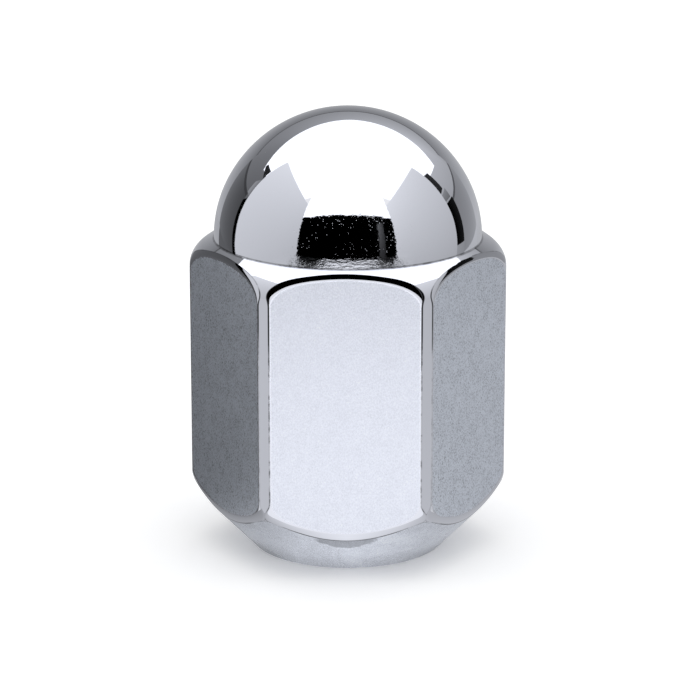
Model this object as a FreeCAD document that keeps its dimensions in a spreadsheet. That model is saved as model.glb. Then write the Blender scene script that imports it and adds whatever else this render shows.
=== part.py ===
import FreeCAD, Part
import math
import os

import Sketcher

# A closed-end wheel nut: one forging with six wrench flats, a round closed dome, a conical
# seat and a blind threaded bore. Its axis is Z. The origin is the centre of the small end
# face that it stands on, the dome points up, and the flat that faces the viewer has the
# normal -Y, so that two of the six corners lie on the X axis.

# Sizes, in millimetres and degrees
SIZES = [
    ("across_flats", 21.0, "wrench size over two opposite flats"),
    ("corner_trim", 0.26, "how far the sharp corners of the hexagon are turned down"),
    ("ledge", 0.47, "step from the middle of a flat in to the foot of the dome"),
    ("dome_base", 23.75, "height of the crease between dome and shoulder"),
    ("dome_rise", 9.75, "height of the dome above that crease"),
    ("dome_blend_angle", 30.0, "direction where the dome's side arc meets its crown arc"),
    ("shoulder_slope", 34.0, "slope of the shoulder, down and out from the crease"),
    ("shoulder_round", 2.0, "rounding between the shoulder and the corners"),
    ("seat_half_angle", 44.0, "half angle of the conical seat"),
    ("seat_round", 1.4, "rounding between the corners and the seat"),
    ("seat_skim", 0.05, "depth of the last cut over the seat, which leaves its upper rim crisp"),
    ("foot_width", 0.9, "width of the flat ring around the mouth that the nut stands on"),
    ("edge_round", 0.5, "rounding along the outline of each flat"),
    ("bore_dia", 10.5, "drilled diameter under the 12 mm thread"),
    ("mouth_flare", 1.05, "how much the countersunk mouth widens the bore on each side"),
    ("mouth_half_angle", 45.0, "half angle of the countersink"),
    ("crown_wall", 3.35, "metal left between the drill point and the top of the dome"),
    ("drill_point_angle", 118.0, "included angle at the closed end of the bore"),
]

doc = FreeCAD.newDocument("lug_nut")
sheet = doc.addObject("Spreadsheet::Sheet", "Sizes")
for row, (alias, value, note) in enumerate(SIZES, start=1):
    sheet.set(f"A{row}", note)
    sheet.set(f"B{row}", str(value))
    sheet.setAlias(f"B{row}", alias)
doc.recompute()


def size(alias):
    """Returns one size from the sheet as a number."""
    return float(getattr(sheet, alias))


def origin_item(body, role):
    """Returns the body's own origin plane or axis that has this role."""
    for item in body.Origin.OriginFeatures:
        if item.Role == role:
            return item
    raise RuntimeError(f"the body has no {role}")


def add_sketch(body, name, role):
    """Adds a sketch to the body on one of the body's own origin planes."""
    sketch = body.newObject("Sketcher::SketchObject", name)
    sketch.AttachmentSupport = [(origin_item(body, role), "")]
    sketch.MapMode = "FlatFace"
    doc.recompute()
    return sketch


def vector(point):
    """Returns a sketch point as a vector."""
    return FreeCAD.Vector(point[0], point[1], 0.0)


def line(start, end):
    """Returns a straight sketch segment."""
    return Part.LineSegment(vector(start), vector(end))


def circle(centre, radius):
    """Returns a whole circle."""
    return Part.Circle(vector(centre), FreeCAD.Vector(0, 0, 1), radius)


def arc(centre, radius, start, end):
    """Returns an arc that runs counter-clockwise between two directions in radians."""
    return Part.ArcOfCircle(circle(centre, radius), start, end)


def join(sketch, kind, *places):
    """Adds one constraint without a size to a sketch."""
    sketch.addConstraint(Sketcher.Constraint(kind, *places))


def bind(sketch, name, kind, places, value, expression):
    """Adds one dimension to a sketch and ties it to the sheet."""
    index = sketch.addConstraint(Sketcher.Constraint(kind, *places, value))
    sketch.renameConstraint(index, name)
    sketch.setExpression(f"Constraints.{name}", expression)


# Numbers that a sketch gives to the points of an item, and to its own axes
_, START, END, CENTRE = range(4)
AXIS_X, AXIS_Y = range(-1, -3, -1)
FULL_TURN = math.tau
HALF_TURN = math.pi
QUARTER_TURN = math.pi / 2

body = doc.addObject("PartDesign::Body", "lug_nut")
body.Label = "lug_nut"
doc.recompute()

# Radii of the bore, its mouth, the ring that the nut stands on, the corners and the dome, and
# a radius well outside the nut, which the cuts reach
flat_r = size("across_flats") / 2
bore_r = size("bore_dia") / 2
mouth_r = bore_r + size("mouth_flare")
foot_r = mouth_r + size("foot_width")
corner_r = flat_r / math.cos(HALF_TURN / 6) - size("corner_trim")
dome_r = flat_r - size("ledge")
waste_r = 2 * corner_r
FOOT_REACH = "Sizes.bore_dia / 2 + Sizes.mouth_flare + Sizes.foot_width"
ROUGH_REACH = FOOT_REACH + " + Sizes.seat_skim / cos(Sizes.seat_half_angle * 1 deg)"
SEAT_TILT = "90 deg - Sizes.seat_half_angle * 1 deg"
CORNER_REACH = "Sizes.across_flats / 2 / cos(30 deg) - Sizes.corner_trim"
WASTE_REACH = "2 * (" + CORNER_REACH + ")"
DOME_REACH = "Sizes.across_flats / 2 - Sizes.ledge"

# Where the outline of the turned blank runs: the unskimmed seat, the rounding above it,
# and the shoulder with its rounding, tangent to the corners
flare = math.radians(size("seat_half_angle"))
slope = math.radians(size("shoulder_slope"))
seat_round = size("seat_round")
shoulder_round = size("shoulder_round")
crease = size("dome_base")
top = crease + size("dome_rise")
rough_r = foot_r + size("seat_skim") / math.cos(flare)
seat_high_r = corner_r - seat_round + seat_round * math.cos(flare)
seat_high = (seat_high_r, (seat_high_r - rough_r) / math.tan(flare))
seat_centre = (corner_r - seat_round, seat_high[1] + seat_round * math.sin(flare))
shoulder_low_r = corner_r - shoulder_round + shoulder_round * math.sin(slope)
shoulder_low = (shoulder_low_r, crease - (shoulder_low_r - dome_r) * math.tan(slope))
shoulder_centre = (corner_r - shoulder_round, shoulder_low[1] - shoulder_round * math.cos(slope))

# The dome is an oval of two arcs: the side arc stands upright on the crease, the crown arc
# has its centre on the axis, and they meet smoothly in the blend direction
blend = math.radians(size("dome_blend_angle"))
centre_gap = (dome_r - size("dome_rise")) / (math.cos(blend) + math.sin(blend) - 1)
side_round = dome_r - centre_gap * math.cos(blend)
crown_round = size("dome_rise") + centre_gap * math.sin(blend)
side_centre = (dome_r - side_round, crease)
crown_centre = (0.0, top - crown_round)
blend_point = (crown_round * math.cos(blend), crown_centre[1] + crown_round * math.sin(blend))

profile = add_sketch(body, "blank_profile", "XZ_Plane")
FOOT = profile.addGeometry(line((0, 0), (rough_r, 0)))
SEAT = profile.addGeometry(line((rough_r, 0), seat_high))
SEAT_ARC = profile.addGeometry(arc(seat_centre, seat_round, -flare, 0))
CORNER = profile.addGeometry(line((corner_r, seat_centre[1]), (corner_r, shoulder_centre[1])))
SHOULDER_ARC = profile.addGeometry(arc(shoulder_centre, shoulder_round, 0, QUARTER_TURN - slope))
SHOULDER = profile.addGeometry(line(shoulder_low, (dome_r, crease)))
SIDE = profile.addGeometry(arc(side_centre, side_round, 0, blend))
CROWN = profile.addGeometry(arc(crown_centre, crown_round, blend, QUARTER_TURN))
AXLE = profile.addGeometry(line((0, top), (0, 0)))
RAY = profile.addGeometry(line(crown_centre, blend_point))
profile.setConstruction(RAY, True)

join(profile, "Coincident", FOOT, START, AXIS_X, START)
join(profile, "Horizontal", FOOT)
join(profile, "Coincident", FOOT, END, SEAT, START)
join(profile, "Tangent", SEAT, END, SEAT_ARC, START)
join(profile, "Tangent", SEAT_ARC, END, CORNER, START)
join(profile, "Vertical", CORNER)
join(profile, "Tangent", CORNER, END, SHOULDER_ARC, START)
join(profile, "Tangent", SHOULDER_ARC, END, SHOULDER, START)
join(profile, "Coincident", SHOULDER, END, SIDE, START)
join(profile, "Horizontal", SIDE, CENTRE, SIDE, START)
join(profile, "Tangent", SIDE, END, CROWN, START)
join(profile, "PointOnObject", CROWN, CENTRE, AXIS_Y)
join(profile, "Coincident", CROWN, END, AXLE, START)
join(profile, "Coincident", AXLE, END, AXIS_X, START)
join(profile, "Vertical", AXLE)
join(profile, "Coincident", RAY, START, CROWN, CENTRE)
join(profile, "Coincident", RAY, END, CROWN, START)

at_origin = (AXIS_X, START)
bind(profile, "rough_reach", "DistanceX", at_origin + (FOOT, END), rough_r, ROUGH_REACH)
bind(profile, "corner_reach", "DistanceX", at_origin + (CORNER, START), corner_r, CORNER_REACH)
bind(profile, "dome_reach", "DistanceX", at_origin + (SIDE, START), dome_r, DOME_REACH)
bind(profile, "crease_rise", "DistanceY", at_origin + (SIDE, START), crease, "Sizes.dome_base")
bind(profile, "top_rise", "DistanceY", at_origin + (CROWN, END), top, "Sizes.dome_base + Sizes.dome_rise")
bind(profile, "seat_turn", "Radius", (SEAT_ARC,), seat_round, "Sizes.seat_round")
bind(profile, "shoulder_turn", "Radius", (SHOULDER_ARC,), shoulder_round, "Sizes.shoulder_round")
bind(profile, "seat_tilt", "Angle", (SEAT,), QUARTER_TURN - flare, SEAT_TILT)
bind(
    profile, "shoulder_tilt", "Angle", (SHOULDER,),
    HALF_TURN - slope, "180 deg - Sizes.shoulder_slope * 1 deg",
)
bind(profile, "blend_tilt", "Angle", (RAY,), blend, "Sizes.dome_blend_angle * 1 deg")
doc.recompute()

blank = body.newObject("PartDesign::Revolution", "turned_blank")
blank.Profile = profile
blank.ReferenceAxis = (profile, ["V_Axis"])
blank.Angle = math.degrees(FULL_TURN)
body.Tip = blank
doc.recompute()
blank_volume = blank.Shape.Volume

# The six flats: everything outside the hexagon is cut away, up to the crease
hexagon = add_sketch(body, "flats_outline", "XY_Plane")
vertex_r = flat_r / math.cos(HALF_TURN / 6)
vertices = []
for step in range(6):
    turn = FULL_TURN * step / 6
    vertices.append((vertex_r * math.cos(turn), vertex_r * math.sin(turn)))
sides = []
for start, end in zip(vertices, vertices[1:] + vertices[:1]):
    sides.append(hexagon.addGeometry(line(start, end)))
RING = hexagon.addGeometry(circle((0, 0), vertex_r))
hexagon.setConstruction(RING, True)
WASTE = hexagon.addGeometry(circle((0, 0), waste_r))
for side, follower in zip(sides, sides[1:] + sides[:1]):
    join(hexagon, "Coincident", side, END, follower, START)
    join(hexagon, "PointOnObject", side, START, RING)
for side in sides[1:]:
    join(hexagon, "Equal", sides[0], side)
FRONT_SIDE = sides[4]
join(hexagon, "Coincident", RING, CENTRE, AXIS_X, START)
join(hexagon, "Coincident", WASTE, CENTRE, AXIS_X, START)
join(hexagon, "Horizontal", FRONT_SIDE)
bind(hexagon, "flat_reach", "DistanceY", (FRONT_SIDE, START) + at_origin, flat_r, "Sizes.across_flats / 2")
bind(hexagon, "waste_reach", "Radius", (WASTE,), waste_r, WASTE_REACH)
doc.recompute()

flats = body.newObject("PartDesign::Pocket", "wrench_flats")
flats.Profile = hexagon
flats.Type = "Length"
flats.setExpression("Length", "Sizes.dome_base")
flats.Reversed = True
body.Tip = flats
doc.recompute()
if not 0.9 * blank_volume < flats.Shape.Volume < 0.999 * blank_volume:
    raise RuntimeError("the wrench flats were not cut")


def is_flat(face):
    """Tells whether a face is one of the six upright planes."""
    if face.Surface.TypeId != "Part::GeomPlane":
        return False
    return abs(face.normalAt(0, 0).z) < 0.01


# The outline of each flat is rounded all the way round
outline_edges = []
for number, edge in enumerate(flats.Shape.Edges, start=1):
    neighbours = [face for face in flats.Shape.Faces if any(edge.isSame(rim) for rim in face.Edges)]
    if any(is_flat(face) for face in neighbours):
        outline_edges.append(f"Edge{number}")
rounding = body.newObject("PartDesign::Fillet", "flat_edges")
rounding.Base = (flats, outline_edges)
rounding.setExpression("Radius", "Sizes.edge_round")
body.Tip = rounding
doc.recompute()
rounded_volume = rounding.Shape.Volume

# The seat is skimmed last, so that a crisp line parts it from the rounded flats and corners
skim_sketch = add_sketch(body, "seat_profile", "XZ_Plane")
skim_high = (waste_r, (waste_r - foot_r) / math.tan(flare))
RIM = skim_sketch.addGeometry(line((foot_r, 0), skim_high))
REACH = skim_sketch.addGeometry(line(skim_high, (waste_r, 0)))
UNDER = skim_sketch.addGeometry(line((waste_r, 0), (foot_r, 0)))
triangle = (RIM, REACH, UNDER)
for item, follower in zip(triangle, triangle[1:] + triangle[:1]):
    join(skim_sketch, "Coincident", item, END, follower, START)
join(skim_sketch, "Vertical", REACH)
join(skim_sketch, "Horizontal", UNDER)
join(skim_sketch, "PointOnObject", RIM, START, AXIS_X)
bind(skim_sketch, "foot_reach", "DistanceX", at_origin + (RIM, START), foot_r, FOOT_REACH)
bind(skim_sketch, "waste_reach", "DistanceX", at_origin + (REACH, END), waste_r, WASTE_REACH)
bind(skim_sketch, "seat_tilt", "Angle", (RIM,), QUARTER_TURN - flare, SEAT_TILT)
doc.recompute()

seat = body.newObject("PartDesign::Groove", "conical_seat")
seat.Profile = skim_sketch
seat.ReferenceAxis = (skim_sketch, ["V_Axis"])
seat.Angle = math.degrees(FULL_TURN)
body.Tip = seat
doc.recompute()
solid_volume = seat.Shape.Volume
if not 0.9 * rounded_volume < solid_volume < 0.9999 * rounded_volume:
    raise RuntimeError("the seat was not skimmed")

# The blind bore: countersunk mouth, the drilled wall under the thread, and the drill point
sink_angle = math.radians(size("mouth_half_angle"))
point_angle = math.radians(size("drill_point_angle") / 2)
sink_rise = size("mouth_flare") / math.tan(sink_angle)
point_top = top - size("crown_wall")
bore_depth = point_top - bore_r / math.tan(point_angle)
bore_sketch = add_sketch(body, "bore_profile", "XZ_Plane")
MOUTH = bore_sketch.addGeometry(line((0, 0), (mouth_r, 0)))
SINK = bore_sketch.addGeometry(line((mouth_r, 0), (bore_r, sink_rise)))
WALL = bore_sketch.addGeometry(line((bore_r, sink_rise), (bore_r, bore_depth)))
POINT = bore_sketch.addGeometry(line((bore_r, bore_depth), (0, point_top)))
CORE = bore_sketch.addGeometry(line((0, point_top), (0, 0)))
loop = (MOUTH, SINK, WALL, POINT, CORE)
for item, follower in zip(loop, loop[1:] + loop[:1]):
    join(bore_sketch, "Coincident", item, END, follower, START)
join(bore_sketch, "Coincident", MOUTH, START, AXIS_X, START)
join(bore_sketch, "Horizontal", MOUTH)
join(bore_sketch, "Vertical", WALL)
join(bore_sketch, "Vertical", CORE)
bind(
    bore_sketch, "mouth_reach", "DistanceX", at_origin + (MOUTH, END),
    mouth_r, "Sizes.bore_dia / 2 + Sizes.mouth_flare",
)
bind(bore_sketch, "wall_reach", "DistanceX", at_origin + (WALL, START), bore_r, "Sizes.bore_dia / 2")
bind(
    bore_sketch, "point_rise", "DistanceY", at_origin + (POINT, END),
    point_top, "Sizes.dome_base + Sizes.dome_rise - Sizes.crown_wall",
)
bind(
    bore_sketch, "sink_tilt", "Angle", (SINK,),
    QUARTER_TURN + sink_angle, "90 deg + Sizes.mouth_half_angle * 1 deg",
)
bind(
    bore_sketch, "point_tilt", "Angle", (POINT,),
    QUARTER_TURN + point_angle, "90 deg + Sizes.drill_point_angle * 0.5 deg",
)
doc.recompute()

bore = body.newObject("PartDesign::Groove", "blind_bore")
bore.Profile = bore_sketch
bore.ReferenceAxis = (bore_sketch, ["V_Axis"])
bore.Angle = math.degrees(FULL_TURN)
body.Tip = bore
doc.recompute()
if not bore.Shape.Volume < 0.9 * solid_volume:
    raise RuntimeError("the bore was not cut")

body.Placement = FreeCAD.Placement()
doc.recompute()

# Everything has to be sound before it is written
for item in doc.Objects:
    if "Invalid" in item.State or "Error" in item.State:
        raise RuntimeError(f"{item.Name} did not recompute: {item.State}")
for item in (blank, flats, rounding, seat, bore, body):
    if item.Shape.isNull() or not item.Shape.isValid():
        raise RuntimeError(f"{item.Name} has a bad shape")
if len(body.Shape.Solids) != 1:
    raise RuntimeError("the nut is not one solid")

os.makedirs("parts", exist_ok=True)
body.Shape.exportStep("parts/lug_nut.step")
print(f"lug_nut: {body.Shape.Volume:.1f} mm3, {len(body.Shape.Faces)} faces, {top:.3f} mm high")
print(f"bore {bore_depth:.4f} mm deep, corners {corner_r:.4f} mm from the axis")
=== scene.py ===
import logging
import math
from dataclasses import dataclass, field, replace
from enum import Enum
from typing import Callable

import bpy
import numpy as np
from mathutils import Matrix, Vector


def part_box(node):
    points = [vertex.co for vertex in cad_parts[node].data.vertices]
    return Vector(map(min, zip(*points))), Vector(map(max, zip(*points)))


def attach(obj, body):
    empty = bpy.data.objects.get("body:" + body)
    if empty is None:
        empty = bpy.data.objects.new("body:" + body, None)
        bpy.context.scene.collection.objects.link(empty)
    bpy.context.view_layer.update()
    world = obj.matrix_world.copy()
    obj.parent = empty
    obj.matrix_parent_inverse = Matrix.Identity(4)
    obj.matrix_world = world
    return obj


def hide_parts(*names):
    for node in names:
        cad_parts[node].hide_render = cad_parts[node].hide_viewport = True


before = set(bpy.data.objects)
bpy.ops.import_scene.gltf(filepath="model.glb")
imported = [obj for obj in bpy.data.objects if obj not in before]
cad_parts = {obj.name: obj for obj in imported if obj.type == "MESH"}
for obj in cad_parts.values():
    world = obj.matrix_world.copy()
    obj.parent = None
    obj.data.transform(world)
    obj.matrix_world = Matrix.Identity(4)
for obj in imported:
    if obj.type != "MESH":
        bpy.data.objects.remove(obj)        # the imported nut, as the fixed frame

LOG = logging.getLogger("lug_nut")
MM = 0.001                       # the nut's own sizes are millimetres, the scene is in metres
FLATS = 6
HALF_SECTOR = math.pi / FLATS    # from the middle of a flat to the corner beside it
FRONT = -math.pi / 2             # the direction that the first flat faces
WELD = 2e-5                      # points closer than this many millimetres are one point
WELD_SHIFT = 0.37                # keeps round coordinates off the borders of the weld's cells
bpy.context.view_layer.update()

Array = np.ndarray
Point = tuple[float, float, float]
Four = tuple[float, float, float, float]
Profile = list[Point] | Array    # radius, height and elevation of the normal at each row


class Skin(Enum):
    """The areas of the nut with a finish of their own, in the order of its material slots."""

    PLATE = 0
    SEAT = 1
    THREAD = 2


def unit(vectors: Array) -> Array:
    """Returns the vectors scaled to length one."""
    length = np.linalg.norm(vectors, axis=-1, keepdims=True)
    return vectors / np.maximum(length, 1e-12)


def smooth(value: float) -> float:
    """Returns a soft step from 0 to 1 over the same range."""
    value = min(max(value, 0.0), 1.0)
    return value * value * (3.0 - 2.0 * value)


def root(gap: Callable[[float], float], low: float, high: float) -> float:
    """Finds where a function changes its sign, by halving the range.

    Args:
        gap: the function.
        low: one end of the range that holds the change.
        high: the other end.

    Returns:
        The place of the change.
    """
    start = gap(low)
    for _ in range(60):
        middle = (low + high) / 2
        if (gap(middle) > 0) == (start > 0):
            low = middle
        else:
            high = middle
    return (low + high) / 2


def polar(radius: Array, turn: Array, height: Array) -> Array:
    """Returns points from their distance to the axis, direction and height."""
    return np.stack(np.broadcast_arrays(radius * np.cos(turn), radius * np.sin(turn), height), axis=-1)


def put(made: bpy.types.Object) -> bpy.types.Object:
    """Adds a new object to the scene, and returns it."""
    bpy.context.scene.collection.objects.link(made)
    return made


def arc(centre: tuple[float, float], size: float, first: float, last: float, rows: int) -> Array:
    """Returns the profile of an arc between two elevations of its normal."""
    tilt = np.linspace(first, last, rows + 1)
    return np.stack([centre[0] + size * np.cos(tilt), centre[1] + size * np.sin(tilt), tilt], axis=-1)


@dataclass
class Patch:
    """A grid of surface points with their exact normals.

    Attributes:
        points: rows by columns by three, in millimetres.
        normals: the outward normal at each point.
        skin: the finish of the patch.
        marks: further values at the points, by name.
    """

    points: Array
    normals: Array
    skin: Skin
    marks: dict[str, Array] = field(default_factory=dict)

    @classmethod
    def lathe(cls, profile: Profile, turns: Array, skin: Skin) -> "Patch":
        """Returns a profile turned about the axis, with its columns in these directions."""
        radius, height, tilt = np.array(profile).T[:, :, None]
        return cls(polar(radius, turns, height), polar(np.cos(tilt), turns, np.sin(tilt)), skin)

    def turned(self, angle: float, mirrored: bool) -> "Patch":
        """Returns a copy turned about the axis.

        Args:
            angle: the turn.
            mirrored: whether the copy is first mirrored over the middle of its flat.

        Returns:
            The turned copy.
        """
        c, s = math.cos(angle), math.sin(angle)
        matrix = np.array([[c, -s, 0.0], [s, c, 0.0], [0.0, 0.0, 1.0]])
        if mirrored:
            matrix = matrix @ np.diag([1.0, -1.0, 1.0])
        return Patch(self.points @ matrix.T, self.normals @ matrix.T, self.skin, self.marks)


@dataclass
class Shell:
    """Collects patches and welds them into one mesh that keeps their exact normals.

    Attributes:
        patches: what has been collected.
        marks: each mark that the mesh gets, with its value where a patch gives none.
    """

    patches: list[Patch] = field(default_factory=list)
    marks: dict[str, float] = field(default_factory=lambda: {"inset": -1.0, "seam": -1.0})

    def add_round(self, patch: Patch) -> None:
        """Takes a half-sector patch twelve times, so that it goes round the nut."""
        turns = [FRONT + 2 * HALF_SECTOR * step for step in range(FLATS)]
        self.patches += [patch.turned(turn, mirrored) for turn in turns for mirrored in (False, True)]

    def _faces(self) -> tuple[Array, Array]:
        """Lists the faces of all patches.

        Returns:
            The four points of each face, and each face's skin.
        """
        faces, skins = [], []
        start = 0
        for patch in self.patches:
            rows, columns = patch.points.shape[:2]
            index = start + np.arange(rows * columns).reshape(rows, columns)
            quads = np.stack([index[:-1, :-1], index[:-1, 1:], index[1:, 1:], index[1:, :-1]], axis=-1)
            faces.append(quads.reshape(-1, 4))
            skins.append(np.full(len(faces[-1]), patch.skin.value))
            start += rows * columns
        return np.concatenate(faces), np.concatenate(skins)

    def _mark(self, name: str) -> Array:
        """Returns one mark's value at every point of all patches."""
        values = [p.marks.get(name, np.full(p.points.shape[:2], self.marks[name])) for p in self.patches]
        return np.concatenate([value.reshape(-1) for value in values])

    def mesh(self, name: str) -> bpy.types.Mesh:
        """Welds the patches.

        Args:
            name: the mesh's name.

        Returns:
            The mesh, in metres, smooth, with the exact normals and the marks as attributes.
        """
        points = np.concatenate([patch.points.reshape(-1, 3) for patch in self.patches])
        normals = np.concatenate([patch.normals.reshape(-1, 3) for patch in self.patches])
        faces, skins = self._faces()
        keys = np.floor(points / WELD + WELD_SHIFT).astype(np.int64)
        _, first, which = np.unique(keys, axis=0, return_index=True, return_inverse=True)
        which = which.reshape(-1)
        across = [points[faces[:, far]] - points[faces[:, near]] for near, far in ((0, 2), (1, 3))]
        backwards = np.einsum("ij,ij->i", np.cross(*across), normals[faces].sum(axis=1)) < 0
        faces[backwards] = faces[backwards][:, ::-1]
        kept, loops, materials = [], [], []
        for corners, skin in zip(faces.tolist(), skins.tolist()):
            ring = [int(which[corner]) for corner in corners]
            use = [i for i in range(4) if ring[i] != ring[i - 1]]
            if len(use) < 3 or len({ring[i] for i in use}) < len(use):
                continue
            kept.append([ring[i] for i in use])
            loops.extend(corners[i] for i in use)
            materials.append(skin)
        mesh = bpy.data.meshes.new(name)
        mesh.from_pydata((points[first] * MM).tolist(), [], kept)
        mesh.polygons.foreach_set("material_index", materials)
        mesh.polygons.foreach_set("use_smooth", [True] * len(kept))
        for mark in self.marks:
            values = np.full(len(first), -np.inf)
            np.maximum.at(values, which, self._mark(mark))
            attribute = mesh.attributes.new(mark, "FLOAT", "POINT")
            attribute.data.foreach_set("value", values.astype(np.float32))
        mesh.normals_split_custom_set(unit(normals[loops]).tolist())
        mesh.update()
        return mesh


@dataclass(frozen=True)
class Outline:
    """The turned outline of the nut between the crease under its dome and its foot.

    Attributes:
        corner_r: distance of the turned corners from the axis.
        crease_z: height of the crease.
        crease_r: distance of the crease from the axis.
        slope: how steeply the shoulder falls from the crease.
        shoulder_round: rounding between shoulder and corner.
        seat_round: rounding between corner and seat.
        flare: half angle of the conical seat.
        foot_r: radius where the seat would reach the ground.
        skim: depth of the last cut over the seat.
    """

    corner_r: float
    crease_z: float
    crease_r: float = 10.03
    slope: float = math.radians(30.0)
    shoulder_round: float = 1.9
    seat_round: float = 1.4
    flare: float = math.radians(44.0)
    foot_r: float = 7.2
    skim: float = 0.05

    def shoulder_end(self) -> tuple[float, float]:
        """Returns the radius and height where the shoulder's straight part ends."""
        radius = self.corner_r - self.shoulder_round * (1 - math.sin(self.slope))
        return radius, self.crease_z - (radius - self.crease_r) * math.tan(self.slope)

    def corner_top(self) -> float:
        """Returns the height where the upright corner begins."""
        return self.shoulder_end()[1] - self.shoulder_round * math.cos(self.slope)

    def seat_top(self) -> tuple[float, float]:
        """Returns the radius and height where the rounding would meet the seat before its last cut."""
        radius = self.corner_r - self.seat_round * (1 - math.cos(self.flare))
        return radius, (radius - (self.foot_r + self.skim / math.cos(self.flare))) / math.tan(self.flare)

    def corner_end(self) -> float:
        """Returns the height where the upright corner ends."""
        return self.seat_top()[1] + self.seat_round * math.sin(self.flare)

    def rim(self) -> float:
        """Returns the height of the line where the last cut over the seat begins."""
        tilt = self.flare - math.acos(1 - self.skim / self.seat_round)
        return self.corner_end() - self.seat_round * math.sin(tilt)

    def _bend(self, size: float, height: float, tilt: float | Array) -> tuple[float | Array, float | Array]:
        """Returns radius and height where a rounding that leaves the upright corner has this tilt."""
        return self.corner_r - size * (1 - np.cos(tilt)), height + size * np.sin(tilt)

    def at(self, height: float) -> tuple[float, float]:
        """Follows the outline.

        Args:
            height: a height between the crease and the foot.

        Returns:
            The radius and the elevation of the normal there.
        """
        if height >= self.shoulder_end()[1]:
            return self.crease_r + (self.crease_z - height) / math.tan(self.slope), math.pi / 2 - self.slope
        if height >= self.corner_top():
            tilt = math.asin((height - self.corner_top()) / self.shoulder_round)
            return self._bend(self.shoulder_round, 0.0, tilt)[0], tilt
        if height >= self.corner_end():
            return self.corner_r, 0.0
        if height > self.rim():
            tilt = math.asin((height - self.corner_end()) / self.seat_round)
            return self._bend(self.seat_round, 0.0, tilt)[0], tilt
        return self.foot_r + height * math.tan(self.flare), -self.flare

    def profile(self, heights: Array) -> Array:
        """Returns the outline's radius, height and elevation of the normal at some heights."""
        places = np.array([self.at(height) for height in heights])
        return np.stack([places[:, 0], heights, places[:, 1]], axis=-1)

    def edge(self, apothem: float, steps: int = 400) -> Array:
        """Traces where a flat would cut the turned outline, before the seat's last cut.

        Args:
            apothem: distance of the flat from the axis.
            steps: points in each of the five stretches.

        Returns:
            The distance from the flat's middle and the height, from the top to the bottom.
        """
        share = np.linspace(0.0, 1.0, steps)
        shoulder_r = apothem + (self.shoulder_end()[0] - apothem) * share**2
        seat_r = apothem + (self.seat_top()[0] - apothem) * (1 - share) ** 2
        upper = (math.pi / 2 - self.slope) * (1 - share)
        lower = -self.flare * share
        stretches = (
            (shoulder_r, self.crease_z - (shoulder_r - self.crease_r) * math.tan(self.slope)),
            self._bend(self.shoulder_round, self.corner_top(), upper),
            (np.full(steps, self.corner_r), np.linspace(self.corner_top(), self.corner_end(), steps)),
            self._bend(self.seat_round, self.corner_end(), lower),
            (seat_r, self.seat_top()[1] - (self.seat_top()[0] - seat_r) / math.tan(self.flare)),
        )
        radius, height = np.concatenate(stretches, axis=1)
        line = np.stack([np.sqrt(np.maximum(radius**2 - apothem**2, 0.0)), height], axis=-1)
        fresh = np.concatenate([[True], np.linalg.norm(np.diff(line, axis=0), axis=1) > 1e-9])
        return line[fresh]


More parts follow.
